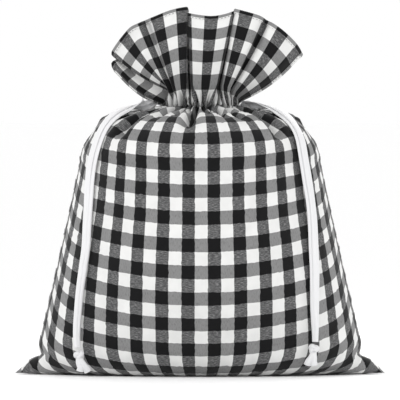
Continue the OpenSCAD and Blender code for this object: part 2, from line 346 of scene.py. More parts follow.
def followed(points, guide):
    """A line through the points that reaches each one where the guide line reaches its own."""
    line = smooth_line(points, 8) * MM
    guide_line = smooth_line(guide, 8) * MM
    run = distances(guide_line)
    return np.stack([np.interp(share * run[-1], run, line[:, k]) for k in range(3)], 1)


hem_points = [pair[0] for pair in heading_pairs]
root_points = [pair[1] for pair in heading_pairs]
front_hem = evened(hem_points)
front_root = followed(root_points, hem_points)
print("hem line", round(length_of(front_hem) * 1000), "mm of", round(PANEL_WIDTH * 1000))

# %% [markdown]
# ## Gathers
#
# A row of cloth stays 406 mm long however small the ring is that it is drawn onto. So the rows are
# pushed in along narrow creases, across their own surface, more and more up the shoulder, until at the
# neck each is 406 mm long again. The creases start apart, and at the neck they run together into small
# pleats, some deep and some shallow.

# %% Creases of the shoulder
FINE_PLEATS = 22
CREASE_GROWTH = 0.045
FOLDS_START = 0.290
FOLDS_FULL = 0.366
front_creases = [
    (-174, 8, 0.312, 1.0), (-136, 6, 0.318, 1.0), (-98, 6, 0.294, 2.0), (-66, 6, 0.326, 1.0),
    (-40, 5, 0.334, 0.9), (-12, 7, 0.310, 1.4), (14, 5, 0.340, 0.8), (38, 6, 0.328, 1.0),
    (64, 6, 0.322, 1.0), (98, 7, 0.292, 1.9), (136, 6, 0.314, 1.0), (174, 8, 0.305, 1.0)]
back_creases = [
    (-168, 8, 0.308, 1.0), (-128, 9, 0.318, 1.0), (-88, 7, 0.326, 0.8), (-52, 8, 0.312, 1.1),
    (-22, 5, 0.345, 0.7), (6, 6, 0.338, 0.8), (34, 6, 0.346, 0.7), (66, 8, 0.314, 1.1),
    (104, 7, 0.328, 0.8), (140, 9, 0.308, 1.0), (175, 8, 0.320, 0.9)]
PUFF = 0.10


def creases_of(v, creases):
    """How far each column of a row is pushed out, or in where negative, before it is scaled."""
    push = np.full(COLUMNS + 1, PUFF)
    for number, (u, width, start, depth) in enumerate(creases):
        grow = smooth_step(v, start, start + CREASE_GROWTH)
        drift = 0.003 * math.sin(2.1 * number + 40 * (v - start))
        wide = width * MM * (1.5 - 0.5 * grow)
        push -= depth * grow * np.exp(-((across - u * MM - drift) / wide) ** 2)
    return push


def wave_of(v, creases):
    """Creases on the shoulder that turn into fine pleats at the neck."""
    uneven = share + 0.014 * np.sin(2 * math.pi * 2.3 * share) + 0.005 * np.sin(2 * math.pi * 5.1 * share)
    deep = 0.3 + 0.7 * np.abs(np.sin(2 * math.pi * 3.4 * share + 0.9))
    fine = 0.8 * deep * np.sin(2 * math.pi * FINE_PLEATS * uneven) - 0.2 * deep
    near = smooth_step(v, BODY_CLOTH - 0.030, BODY_CLOTH - 0.004)
    ends = smooth_step(share, 0, 0.03) * smooth_step(1 - share, 0, 0.03)
    return ((1 - near) * creases_of(v, creases) + near * fine) * ends


# %% Push each row in until it is as long as the cloth


def lengthened(row, outward, wave, wanted):
    """Adds a wave to a row of points, as deep as makes the row the wanted length."""
    low, high = 0.0, 0.05
    if length_of(row) >= wanted:
        return row
    for _ in range(24):
        depth = (low + high) / 2
        if length_of(row + outward * (wave * depth)[:, None]) < wanted:
            low = depth
        else:
            high = depth
    return row + outward * (wave * low)[:, None]


PINCH_TOP = CASING_TOP - 0.009
PLEATS_FADE = 0.006
SLIT_DROP = 0.006
LOBE_SAG = 0.007


def neck_row(v):
    """A row of the casing: a half ring, drawn in at the middle where the ribbons run."""
    t = (v - BODY_CLOTH) / CASING_CLOTH
    radius = neck_ring - 0.006 * math.sin(math.pi * t)
    turn = np.linspace(math.pi, 2 * math.pi, COLUMNS + 1)
    top = PINCH_TOP - SLIT_DROP * np.abs(np.cos(turn)) ** 4
    height = NECK_Z + (top - NECK_Z) * t
    return np.stack([radius * np.cos(turn), radius * np.sin(turn), np.full(COLUMNS + 1, height)], 1)


def heading_row(v, hem, root):
    """A row of the heading, part of the way from the neck to the line of the hem."""
    t = (v - BODY_CLOTH - CASING_CLOTH) / HEADING_CLOTH
    settle = smooth_step(t, 0, 0.10)
    start = neck_row(BODY_CLOTH + CASING_CLOTH) * (1 - settle) + root * settle
    open_out = t ** 0.85
    swell = math.sin(math.pi * t)
    sag = LOBE_SAG * swell * np.abs(2 * share - 1) ** 2
    bow = np.stack([np.zeros_like(sag), np.full_like(sag, 0.005 * swell), sag], 1)
    return start * (1 - open_out) + hem * open_out - bow


def surface_normals(grid):
    """Outward direction at each point of a front panel's grid."""
    normals = np.cross(np.gradient(grid, axis=1), np.gradient(grid, axis=0))
    return normals / (np.linalg.norm(normals, axis=2)[:, :, None] + 1e-12)


def gathered_panel(hem, root, creases):
    """The front panel's grid of points with all its folds."""
    grid = panel.copy()
    for j in range(body_rows + 1, len(along)):
        in_casing = j <= body_rows + casing_rows
        grid[j] = neck_row(along[j]) if in_casing else heading_row(along[j], hem, root)
    outward = surface_normals(grid)
    for j, v in enumerate(along):
        if v < FOLDS_START:
            continue
        bare = length_of(grid[j])
        fade = smooth_step(v, FOLDS_START, FOLDS_FULL)
        if v > BODY_CLOTH + CASING_CLOTH:
            fade = 1 - smooth_step(v, BODY_CLOTH + CASING_CLOTH, BODY_CLOTH + CASING_CLOTH + PLEATS_FADE)
        wanted = bare + max(PANEL_WIDTH - bare, 0) * fade
        grid[j] = lengthened(grid[j], outward[j], wave_of(v, creases), wanted)
    return grid


front_grid = gathered_panel(front_hem, front_root, front_creases)
back_pairs = [((0.96 * x, 0.9 * y, z - 2 - 1.5 * math.sin(0.05 * x)), (a, 0.97 * b, c))
              for (x, y, z), (a, b, c) in heading_pairs]
back_hem = evened([pair[0] for pair in back_pairs])
back_root = followed([pair[1] for pair in back_pairs], [pair[0] for pair in back_pairs])
back_grid = gathered_panel(back_hem, back_root, back_creases)
back_grid[:, :, 1] *= -1
near_neck = (body_rows - 12, body_rows, body_rows + casing_rows)
neck_lengths = [round(length_of(front_grid[j]) * 1000) for j in near_neck]
print("row lengths near the neck in mm:", neck_lengths)

# %% [markdown]
# ## Sewing the two panels into one mesh
#
# Both panels share their points along the bottom seam and up the side seams, as far as the slits
# where the ribbons come out. Above that they stay apart.

# %% One mesh from two grids
UNEVENNESS = 0.0002
points = []
flat_points = []
front_index = np.zeros((len(along), COLUMNS + 1), int)
back_index = np.zeros_like(front_index)
for j, v in enumerate(along):
    for i, u in enumerate(across):
        sewn = j == 0 or (i in (0, COLUMNS) and j <= body_rows)
        front_index[j, i] = len(points)
        place = front_grid[j, i].copy()
        if sewn:
            place = (front_grid[j, i] + back_grid[j, i]) / 2
            place[1] = 0
        points.append(place)
        flat_points.append((u, 0, v))
        back_index[j, i] = front_index[j, i]
        if not sewn:
            back_index[j, i] = len(points)
            points.append(back_grid[j, i].copy())
            flat_points.append((u, 0, v))
points = np.array(points)
flat_points = np.array(flat_points)
scatter = np.random.default_rng(7)
loose = flat_points[:, 2] < BODY_CLOTH
points[loose] += scatter.normal(0, UNEVENNESS, (int(loose.sum()), 3))


def grid_faces(index, outward_first):
    """Four-sided faces of a grid of point numbers."""
    a, b, c, d = index[:-1, :-1], index[:-1, 1:], index[1:, 1:], index[1:, :-1]
    order = (a, b, c, d) if outward_first else (a, d, c, b)
    return np.stack([o.ravel() for o in order], 1)


front_faces = grid_faces(front_index, True)
back_faces = grid_faces(back_index, False)
print(len(points), "points,", len(front_faces) + len(back_faces), "faces")

# %% [markdown]
# ## Cloth simulation
#
# Blender's Cloth takes the folded shape as its start and the flat pattern as its rest. A little
# pressure stands for the filling, the casing is pinned where the ribbons hold it, and the floor is
# solid. The heading isn't blown up, so the pressure has a vertex group of its own.

# %% Simulate
SIM_FRAMES = 22
SIM_SETTINGS = dict(quality=5, mass=0.1, tension_stiffness=15, compression_stiffness=10,
                    shear_stiffness=4, bending_stiffness=0.08, tension_damping=2,
                    compression_damping=2, shear_damping=1, bending_damping=0.2, air_damping=1)
PRESSURE = 2.5
SEAM_PULL = 0.0016
GROUND = -0.002
LOWEST = 0.0008


def mesh_object(name, verts, faces):
    """A new mesh object from points and faces."""
    mesh = bpy.data.meshes.new(name)
    mesh.from_pydata(np.asarray(verts).tolist(), [], [[int(n) for n in face] for face in faces])
    mesh.update()
    return new_object(name, mesh)


def evaluated_points(thing):
    """The points of an object after its modifiers, as an array."""
    seen = thing.evaluated_get(bpy.context.evaluated_depsgraph_get())
    out = np.zeros(len(seen.data.vertices) * 3, np.float32)
    seen.data.vertices.foreach_get("co", out)
    return out.reshape(-1, 3).astype(float)


def simulate(start, rest):
    """Runs Blender's Cloth on the sewn sack and returns where every point ends up."""
    sack = mesh_object("sack_for_simulation", start, np.concatenate([front_faces, back_faces]))
    sack.shape_key_add(name="Basis")
    flat_key = sack.shape_key_add(name="flat_pattern")
    flat_key.data.foreach_set("co", rest.astype(np.float32).ravel())
    flat_key.value = 0
    held = sack.vertex_groups.new(name="held")
    in_casing = (rest[:, 2] >= BODY_CLOTH - 1e-6) & (rest[:, 2] <= BODY_CLOTH + CASING_CLOTH + 1e-6)
    held.add(np.flatnonzero(in_casing).tolist(), 1.0, "REPLACE")
    filled = sack.vertex_groups.new(name="filled")
    filled.add(np.flatnonzero(rest[:, 2] < BODY_CLOTH).tolist(), 1.0, "REPLACE")
    cloth = sack.modifiers.new("cloth", "CLOTH")
    for name, value in SIM_SETTINGS.items():
        setattr(cloth.settings, name, value)
    cloth.settings.use_pressure = True
    cloth.settings.uniform_pressure_force = PRESSURE
    cloth.settings.vertex_group_pressure = "filled"
    cloth.settings.vertex_group_mass = "held"
    cloth.settings.rest_shape_key = flat_key
    cloth.settings.effector_weights.gravity = 0
    cloth.collision_settings.distance_min = 0.001
    cloth.point_cache.frame_start = 1
    cloth.point_cache.frame_end = SIM_FRAMES
    corners = [(-1, -1, GROUND), (1, -1, GROUND), (1, 1, GROUND), (-1, 1, GROUND)]
    ground = mesh_object("ground_for_simulation", corners, [(0, 1, 2, 3)])
    ground.modifiers.new("solid", "COLLISION")
    ground.collision.thickness_outer = 0.001
    for step in range(1, SIM_FRAMES + 1):
        bpy.context.scene.frame_set(step)
    settled = evaluated_points(sack)
    bpy.context.scene.frame_set(1)
    for helper in (sack, ground):
        bpy.data.objects.remove(helper, do_unlink=True)
    return settled


def with_pulled_seams(settled):
    """Draws the side seams in a little, more and less by turns, as a line of stitches does."""
    pulled = settled.copy()
    for column, turn in ((0, 1), (COLUMNS, -1)):
        seam = front_index[8:body_rows - 4, column]
        pucker = SEAM_PULL * (1 + 0.35 * np.sin(np.arange(len(seam)) * 1.3))
        pulled[seam, 0] += turn * pucker
        for index in (front_index, back_index):
            beside = index[8:body_rows - 4, column + turn]
            pulled[beside, 0] -= turn * pucker * 0.35
    return pulled


settled_points = simulate(points, flat_points)
settled_points[:, 2] = np.maximum(settled_points[:, 2], LOWEST)
settled_points = with_pulled_seams(settled_points)
moved = np.linalg.norm(settled_points - points, axis=1) * 1000
print("moved: median", round(float(np.median(moved)), 1), "mm, most", round(float(moved.max()), 1), "mm")

# %% [markdown]
# ## The checked cloth
#
# Gingham is dyed yarn in even stripes both ways. Where two dark stripes cross it is black, where two
# light ones cross it is white, and between them each thread shows by turns, so it looks grey. The
# dark warp stripes come out darker and more flecked than the weft ones. The pattern reads the flat
# pattern's UV map, so it follows every fold.

# %% Node helpers
CHECK = 0.0254
THREAD_RELIEF = 0.00012


def new_material(name):
    """A material with its node tree, its shader and a function that adds nodes."""
    material = bpy.data.materials.new(name)
    material.use_nodes = True
    tree = material.node_tree
    return material, tree, tree.nodes["Principled BSDF"]


def math_node(tree, operation, first, second=None, third=None):
    """A math node whose inputs are sockets or numbers."""
    node = tree.nodes.new("ShaderNodeMath")
    node.operation = operation
    for slot_number, value in enumerate((first, second, third)):
        if value is None:
            continue
        if isinstance(value, (int, float)):
            node.inputs[slot_number].default_value = value
        else:
            tree.links.new(value, node.inputs[slot_number])
    return node.outputs[0]


def noise(tree, vector, scale, detail=3.0, stretch=None):
    """Noise in the range 0 to 1, stretched along an axis where asked."""
    if stretch:
        mapping = tree.nodes.new("ShaderNodeMapping")
        mapping.inputs["Scale"].default_value = stretch
        tree.links.new(vector, mapping.inputs["Vector"])
        vector = mapping.outputs[0]
    node = tree.nodes.new("ShaderNodeTexNoise")
    node.inputs["Scale"].default_value = scale
    node.inputs["Detail"].default_value = detail
    tree.links.new(vector, node.inputs["Vector"])
    return node.outputs[0]


def stripes(tree, coordinate, centre):
    """1 on a dark stripe and 0 between, with an edge a thread or so wide."""
    shifted = math_node(tree, "SUBTRACT", coordinate, centre)
    wave = math_node(tree, "COSINE", math_node(tree, "MULTIPLY", shifted, 2 * math.pi / CHECK))
    return math_node(tree, "MULTIPLY_ADD", wave, 14.0, 0.5)


def clamped(tree, value):
    """A value kept between 0 and 1."""
    node = tree.nodes.new("ShaderNodeClamp")
    tree.links.new(value, node.inputs[0])
    return node.outputs[0]


def colour_mix(tree, factor, first, second):
    """Mixes two colours, each a socket or four numbers."""
    node = tree.nodes.new("ShaderNodeMix")
    node.data_type = "RGBA"
    tree.links.new(factor, node.inputs[0])
    for socket, value in ((node.inputs[6], first), (node.inputs[7], second)):
        if isinstance(value, tuple):
            socket.default_value = value
        else:
            tree.links.new(value, socket)
    return node.outputs[2]


def cloth_place(tree):
    """The UV map named cloth, which is in metres, as one socket and as its two coordinates."""
    uv = tree.nodes.new("ShaderNodeUVMap")
    uv.uv_map = "cloth"
    split = tree.nodes.new("ShaderNodeSeparateXYZ")
    tree.links.new(uv.outputs[0], split.inputs[0])
    return uv.outputs[0], split.outputs[0], split.outputs[1]


def add_bump(tree, shader, height, strength):
    """Roughens a surface with a height that goes from about -1 to 1."""
    bump = tree.nodes.new("ShaderNodeBump")
    bump.inputs["Strength"].default_value = strength
    bump.inputs["Distance"].default_value = THREAD_RELIEF
    tree.links.new(height, bump.inputs["Height"])
    tree.links.new(bump.outputs[0], shader.inputs["Normal"])


def add_colour(tree, shader, colour, cloud, spread):
    """Colours a surface, a little lighter and darker from place to place."""
    shade = tree.nodes.new("ShaderNodeHueSaturation")
    tree.links.new(math_node(tree, "MULTIPLY_ADD", cloud, spread, 1 - spread / 2), shade.inputs["Value"])
    if isinstance(colour, tuple):
        shade.inputs["Color"].default_value = colour
    else:
        tree.links.new(colour, shade.inputs["Color"])
    tree.links.new(shade.outputs[0], shader.inputs["Base Color"])


# %% Gingham
WARP_CENTRE = 0.0140
WEFT_CENTRE = 0.0038
THREAD = 0.00045
SLUBS = 2000
CLOUDS = 60
CLOTH_BLACK = (0.0055, 0.0055, 0.006, 1)
CLOTH_WHITE = (0.78, 0.78, 0.77, 1)
WARP_GREY = (0.073, 0.073, 0.075, 1)
WEFT_GREY = (0.245, 0.245, 0.245, 1)


def gingham(name):
    """Woven gingham: stripes both ways, slubs, slow changes of tone and a plain weave."""
    material, tree, shader = new_material(name)
    place, u, v = cloth_place(tree)
    warp = clamped(tree, stripes(tree, u, WARP_CENTRE))
    weft = clamped(tree, stripes(tree, v, WEFT_CENTRE))
    on_white_row = colour_mix(tree, warp, CLOTH_WHITE, WARP_GREY)
    on_dark_row = colour_mix(tree, warp, WEFT_GREY, CLOTH_BLACK)
    plain = colour_mix(tree, weft, on_white_row, on_dark_row)
    flecks_up = noise(tree, place, SLUBS, 2.0, (1.0, 0.14, 1.0))
    flecks_across = noise(tree, place, SLUBS, 2.0, (0.14, 1.0, 1.0))
    warp_alone = clamped(tree, math_node(tree, "SUBTRACT", warp, weft))
    weft_alone = clamped(tree, math_node(tree, "SUBTRACT", weft, warp))
    pale_slubs = clamped(tree, math_node(tree, "MULTIPLY_ADD", flecks_across, 5.0, -2.35))
    dark_slubs = clamped(tree, math_node(tree, "MULTIPLY_ADD", flecks_up, 5.0, -2.45))
    pale = math_node(tree, "MULTIPLY", math_node(tree, "MULTIPLY", pale_slubs, warp_alone), 0.26)
    dark = math_node(tree, "MULTIPLY", math_node(tree, "MULTIPLY", dark_slubs, weft_alone), 0.34)
    flecked = colour_mix(tree, dark, colour_mix(tree, pale, plain, CLOTH_WHITE), CLOTH_BLACK)
    add_colour(tree, shader, flecked, noise(tree, place, CLOUDS, 3.0), 0.22)
    over = math_node(tree, "SINE", math_node(tree, "MULTIPLY", u, math.pi / THREAD))
    under = math_node(tree, "SINE", math_node(tree, "MULTIPLY", v, math.pi / THREAD))
    weave = math_node(tree, "MULTIPLY", over, under)
    height = math_node(tree, "ADD", weave, math_node(tree, "MULTIPLY", flecks_up, 1.2))
    add_bump(tree, shader, height, 0.25)
    shader.inputs["Roughness"].default_value = 0.9
    shader.inputs["Specular IOR Level"].default_value = 0.15
    shader.inputs["Sheen Weight"].default_value = 0.12
    shader.inputs["Sheen Roughness"].default_value = 0.5
    return material


gingham_cloth = gingham("gingham_cloth")
print("gingham repeats every", CHECK * 1000, "mm")

# %% Ribbon and thread
RIBBON_WHITE = (0.78, 0.78, 0.79, 1)
THREAD_DARK = (0.02, 0.02, 0.022, 1)
THREAD_PALE = (0.09, 0.09, 0.09, 1)
RIB = 0.0006
STREAKS = 700
TWIST = 2500


def ribbed_ribbon(name):
    """Soft white ribbon: fine ribs across it, and a low sheen."""
    material, tree, shader = new_material(name)
    place, _, along_ribbon = cloth_place(tree)
    ribs = math_node(tree, "SINE", math_node(tree, "MULTIPLY", along_ribbon, 2 * math.pi / RIB))
    streak = noise(tree, place, STREAKS, 2.0, (1.0, 0.06, 1.0))
    height = math_node(tree, "ADD", math_node(tree, "MULTIPLY", ribs, 0.5), streak)
    add_bump(tree, shader, height, 0.3)
    add_colour(tree, shader, RIBBON_WHITE, streak, 0.12)
    shader.inputs["Roughness"].default_value = 0.42
    shader.inputs["Sheen Weight"].default_value = 0.3
    return material


white_ribbon = ribbed_ribbon("white_ribbon")
sewing_thread, thread_tree, thread_shader = new_material("sewing_thread")
thread_place = thread_tree.nodes.new("ShaderNodeTexCoord")
thread_twist = noise(thread_tree, thread_place.outputs["Object"], TWIST, 2.0)
thread_ramp = thread_tree.nodes.new("ShaderNodeValToRGB")
thread_ramp.color_ramp.elements[0].color = THREAD_DARK
thread_ramp.color_ramp.elements[1].color = THREAD_PALE
thread_tree.links.new(thread_twist, thread_ramp.inputs[0])
thread_tree.links.new(thread_ramp.outputs[0], thread_shader.inputs["Base Color"])
thread_shader.inputs["Roughness"].default_value = 0.6
print("materials:", gingham_cloth.name, white_ribbon.name, sewing_thread.name)

# %% [markdown]
# ## The two panels as cloth
#
# The settled mesh is split back into its front and back panel. Each gets the check's UV map, smooth
# shading and a real thickness, inwards, so that the outside stays where the simulation left it.

# %% Mesh helpers
CLOTH_THICK = 0.0005


def add_uv(thing, coordinates):
    """Writes each point's place on the flat pattern, in metres, to the UV map."""
    layer = thing.data.uv_layers.new(name="cloth")
    corner = np.zeros(len(thing.data.loops), np.int32)
    thing.data.loops.foreach_get("vertex_index", corner)
    layer.data.foreach_set("uv", np.asarray(coordinates)[corner][:, :2].astype(np.float32).ravel())


def dress(thing, material, body):
    """Smooth shading, a material, the body that the piece rides on, if it rides on one."""
    thing.data.polygons.foreach_set("use_smooth", np.ones(len(thing.data.polygons), bool))
    if not thing.data.materials:
        thing.data.materials.append(material)
    if body:
        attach(thing, body)
    return thing


def closed_skin(name, rings, coordinates):
    """A closed mesh over a row of rings of points, with an end face at each end."""
    count, around = rings.shape[:2]
    index = np.arange(count * around).reshape(count, around)
    wrapped = np.concatenate([index, index[:, :1]], 1)
    faces = grid_faces(wrapped, True).tolist() + [index[0, ::-1].tolist(), index[-1].tolist()]
    thing = mesh_object(name, rings.reshape(-1, 3), faces)
    made = bmesh.new()
    made.from_mesh(thing.data)
    bmesh.ops.recalc_face_normals(made, faces=made.faces)
    made.to_mesh(thing.data)
    made.free()
    add_uv(thing, coordinates.reshape(-1, 2))
    return thing


# %% Front and back cloth


def cloth_panel(name, index, outward_first):
    """One panel of the sack, cut out of the settled mesh."""
    numbers = np.arange(index.size).reshape(index.shape)
    thing = mesh_object(name, settled_points[index.ravel()], grid_faces(numbers, outward_first))
    add_uv(thing, flat_points[index.ravel()][:, [0, 2]])
    wall = thing.modifiers.new("thickness", "SOLIDIFY")
    wall.thickness = CLOTH_THICK
    wall.offset = -1
    wall.use_even_offset = False
    return dress(thing, gingham_cloth, "sack")


front_cloth = cloth_panel("front_cloth", front_index, True)
back_cloth = cloth_panel("back_cloth", back_index, False)
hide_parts("front_panel", "front_casing", "front_heading")
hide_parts("back_panel", "back_casing", "back_heading")
print("points in the front panel:", len(front_cloth.data.vertices))

# %% [markdown]
# ## Finding a place on the cloth
#
# Hems and stitches are planned on the flat pattern, where they are straight lines. These helpers turn
# a place on the pattern into a place on the folded cloth, with the direction that it faces.

# %% Places on the cloth
front_places = settled_points[front_index]
back_places = settled_points[back_index]
panels = {
    "front": (front_places, surface_normals(front_places)),
    "back": (back_places, -surface_normals(back_places))}


def on_grid(grid, u, v):
    """Values of a panel's grid at places on the flat pattern."""
    row = np.clip(np.interp(v, along, np.arange(len(along))), 0, len(along) - 1.001)
    column = np.clip((u / PANEL_WIDTH + 0.5) * COLUMNS, 0, COLUMNS - 0.001)
    j, i = row.astype(int), column.astype(int)
    rise, over = (row - j)[..., None], (column - i)[..., None]
    low = grid[j, i] * (1 - over) + grid[j, i + 1] * over
    high = grid[j + 1, i] * (1 - over) + grid[j + 1, i + 1] * over
    return low * (1 - rise) + high * rise


def unit(vectors):
    """Vectors cut to length one."""
    return vectors / (np.linalg.norm(vectors, axis=-1)[..., None] + 1e-12)


# %% [markdown]
# ## Hems
#
# The top edge of each flap is folded over twice and sewn, and so are the two edges of each slit. A
# double fold is three layers of cloth, so it is thicker than the panel and stiffens its edge. Each
# hem is a closed skin whose section wraps the edge, and it keeps the panel's check.

# %% Hem bands
HEM_WIDTH = 0.0050
HEM_SWELL = 0.0009
hem_section = [(-1.0, 0.3), (-0.93, 0.8), (-0.5, 1.0), (-0.1, 0.85), (0.1, 0.0),
               (-0.1, -0.85), (-0.5, -1.0), (-0.93, -0.8), (-1.0, -0.3)]


def hem_band(side, edge, low, high, steps):
    """A folded hem along the top, left or right edge of one panel, from low to high."""
    grid, normals = panels[side]
    line = np.linspace(low, high, steps)
    if edge == "top":
        u, v, step_u, step_v = line, np.full(steps, CLOTH_TOP), 0.0, 1.0
    else:
        turn = -1.0 if edge == "left" else 1.0
        u, v, step_u, step_v = np.full(steps, turn * PANEL_WIDTH / 2), line, turn, 0.0
    rim = on_grid(grid, u, v)
    out = unit(rim - on_grid(grid, u - step_u * HEM_WIDTH, v - step_v * HEM_WIDTH))
    rings, marks = [], []
    for reach, lift in hem_section:
        inside = min(reach, 0) * HEM_WIDTH
        place = on_grid(grid, u + step_u * inside, v + step_v * inside)
        facing = unit(on_grid(normals, u + step_u * inside, v + step_v * inside))
        rings.append(place + out * max(reach, 0) * HEM_WIDTH + facing * lift * HEM_SWELL)
        marks.append(np.stack([u + step_u * inside, v + step_v * inside], 1))
    band = closed_skin(f"{side}_{edge}_hem_band", np.stack(rings, 1), np.stack(marks, 1))
    return dress(band, gingham_cloth, "sack")


SLIT_LOW = BODY_CLOTH + CASING_CLOTH + 0.002
SLIT_HIGH = CLOTH_TOP - 0.002
hems = {}
for side in panels:
    top_band = hem_band(side, "top", -PANEL_WIDTH / 2, PANEL_WIDTH / 2, 2 * COLUMNS)
    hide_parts(side + "_top_hem")
    hems[side] = [top_band]
    for edge in ("left", "right"):
        band = hem_band(side, edge, SLIT_LOW, SLIT_HIGH, 60)
        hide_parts(f"{side}_{edge}_slit_hem")
        hems[side].append(band)
print("hem bands:", sum(len(group) for group in hems.values()))

# %% [markdown]
# ## Seam allowances
#
# Inside, the two panels' raw edges stand up as a narrow double strip along the bottom and up both
# sides. Each is a thin closed skin that follows its seam.

# %% Seam allowances
SEAM_WIDTH = 0.009
SEAM_THICK = 0.0008
SEAM_START = 0.0015


def seam_allowance(name, seam, inward, marks):
    """A double strip of cloth that stands inwards from a sewn line."""
    start = seam + inward * SEAM_START
    end = seam + inward * SEAM_WIDTH
    proud = np.array([0, SEAM_THICK, 0])
    rings = np.stack([start + proud, end + proud * 0.8, end - proud * 0.8, start - proud], 1)
    strip = closed_skin(name, rings, np.repeat(marks[:, None], 4, 1))
    return dress(strip, gingham_cloth, "sack")


for name, column, turn in (("left_side_seam", 0, 1), ("right_side_seam", COLUMNS, -1)):
    seam = front_places[6:body_rows - 2, column]
    marks = np.stack([np.full(len(seam), across[column]), along[6:body_rows - 2]], 1)
    allowance = seam_allowance(name + "_allowance", seam, np.array([turn, 0, 0]), marks)
    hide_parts(name)
bottom = front_places[0, 10:-10]
marks = np.stack([across[10:-10], np.zeros(len(bottom))], 1)
allowance = seam_allowance("bottom_seam_allowance", bottom, np.array([0, 0, 1]), marks)
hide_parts("bottom_seam")
print("bottom allowance", round(length_of(bottom) * 1000), "mm long")

# %% [markdown]
# ## Stitches
#
# A stitch repeats hundreds of times along a line, which is what Geometry Nodes are for. Each point of
# a plain point mesh carries the direction of its line and the direction that the cloth faces. The
# tree puts one short rounded thread on every point, turned to both.

# %% The stitch tree
STITCH_STEP = 0.0034
STITCH_LENGTH = 0.0023
THREAD_WIDTH = 0.0004
stitch_tree = bpy.data.node_groups.new("stitches", "GeometryNodeTree")
stitch_tree.is_modifier = True
stitch_sockets = {}
for label, kind in (("Points", "Geometry"), ("Stitch length", "Float"), ("Thread width", "Float"),
                    ("Thread", "Material")):
    socket = stitch_tree.interface.new_socket(label, in_out="INPUT", socket_type="NodeSocket" + kind)
    stitch_sockets[label] = socket.identifier
stitch_tree.interface.new_socket("Stitches", in_out="OUTPUT", socket_type="NodeSocketGeometry")


def tree_node(kind, **inputs):
    """A node of the stitch tree with its inputs set or linked."""
    node = stitch_tree.nodes.new(kind)
    for label, value in inputs.items():
        socket = node.inputs[label.replace("_", " ")]
        if isinstance(value, bpy.types.NodeSocket):
            stitch_tree.links.new(value, socket)
        else:
            socket.default_value = value
    return node


def direction(label):
    """A named direction that each point carries."""
    node = stitch_tree.nodes.new("GeometryNodeInputNamedAttribute")
    node.data_type = "FLOAT_VECTOR"
    node.inputs["Name"].default_value = label
    return node.outputs[0]


given = stitch_tree.nodes.new("NodeGroupInput")
bead = tree_node("GeometryNodeMeshUVSphere", Segments=8, Rings=6, Radius=0.5)
along_line = tree_node("FunctionNodeAlignRotationToVector", Vector=direction("run"))
along_line.axis = "X"
facing_out = tree_node("FunctionNodeAlignRotationToVector", Vector=direction("off"),
                       Rotation=along_line.outputs[0])
facing_out.axis = "Z"
facing_out.pivot_axis = "X"
shape = tree_node("ShaderNodeCombineXYZ", X=given.outputs["Stitch length"],
                  Y=given.outputs["Thread width"], Z=given.outputs["Thread width"])
placed = tree_node("GeometryNodeInstanceOnPoints", Points=given.outputs["Points"],
                   Instance=bead.outputs["Mesh"], Rotation=facing_out.outputs[0], Scale=shape.outputs[0])
solid = tree_node("GeometryNodeRealizeInstances", Geometry=placed.outputs[0])
painted = tree_node("GeometryNodeSetMaterial", Geometry=solid.outputs[0], Material=given.outputs["Thread"])
result = stitch_tree.nodes.new("NodeGroupOutput")
stitch_tree.links.new(painted.outputs[0], result.inputs[0])
print("nodes in the stitch tree:", len(stitch_tree.nodes))


# %% Rows of stitches


def stitch_line(side, start, end, lift):
    """Places, line directions and facings of the stitches between two places on the pattern."""
    grid, normals = panels[side]
    count = int(math.dist(start, end) / STITCH_STEP)
    u = np.linspace(start[0], end[0], count + 1)
    v = np.linspace(start[1], end[1], count + 1)
    corners = on_grid(grid, u, v)
    off = unit(on_grid(normals, (u[:-1] + u[1:]) / 2, (v[:-1] + v[1:]) / 2))
    return (corners[:-1] + corners[1:]) / 2 + off * lift, unit(np.diff(corners, axis=0)), off


def sew(name, lines):
    """All the stitches of some lines, as one plain mesh."""
    places, runs, offs = (np.concatenate(part) for part in zip(*lines))
    point_mesh = bpy.data.meshes.new(name)
    point_mesh.from_pydata(places.tolist(), [], [])
    for label, values in (("run", runs), ("off", offs)):
        layer = point_mesh.attributes.new(label, "FLOAT_VECTOR", "POINT")
        layer.data.foreach_set("vector", values.astype(np.float32).ravel())
    thing = new_object(name, point_mesh)
    nodes = thing.modifiers.new("stitches", "NODES")
    nodes.node_group = stitch_tree
    nodes[stitch_sockets["Stitch length"]] = STITCH_LENGTH
    nodes[stitch_sockets["Thread width"]] = THREAD_WIDTH
    nodes[stitch_sockets["Thread"]] = sewing_thread
    seen = thing.evaluated_get(bpy.context.evaluated_depsgraph_get())
    made = bpy.data.meshes.new_from_object(seen)
    thing.modifiers.remove(nodes)
    thing.data = made
    print(name, len(places), "stitches")
    return dress(thing, sewing_thread, "sack")


EDGE = PANEL_WIDTH / 2
HEM_LINE = HEM_WIDTH * 0.8
FROM_EDGE = 0.0015
for side in panels:
    rows = [stitch_line(side, (-EDGE, CLOTH_TOP - HEM_LINE), (EDGE, CLOTH_TOP - HEM_LINE), HEM_SWELL)]
    for turn in (-1, 1):
        u = turn * (EDGE - HEM_LINE)
        rows.append(stitch_line(side, (u, SLIT_LOW), (u, SLIT_HIGH), HEM_SWELL))
    for v in (BODY_CLOTH + FROM_EDGE, BODY_CLOTH + CASING_CLOTH - FROM_EDGE):
        rows.append(stitch_line(side, (-EDGE, v), (EDGE, v), 0.0001))
    sew(side + "_stitches", rows)

# %% [markdown]
# ## Ribbons
#
# Each tail is a limp ribbon 10 mm wide. Where it leaves the slit it is bunched. Over the shoulder it
# lies open and flat, and lower down it curls along its length, so that it looks narrower while it
# stays as wide as it was. The section is an arc whose length is always the ribbon's width.

# %% Ribbon skins
RIBBON_WIDTH = 0.010
RIBBON_THICK = 0.0005
body_surface = BVHTree.FromPolygons([tuple(p) for p in settled_points], front_faces.tolist())


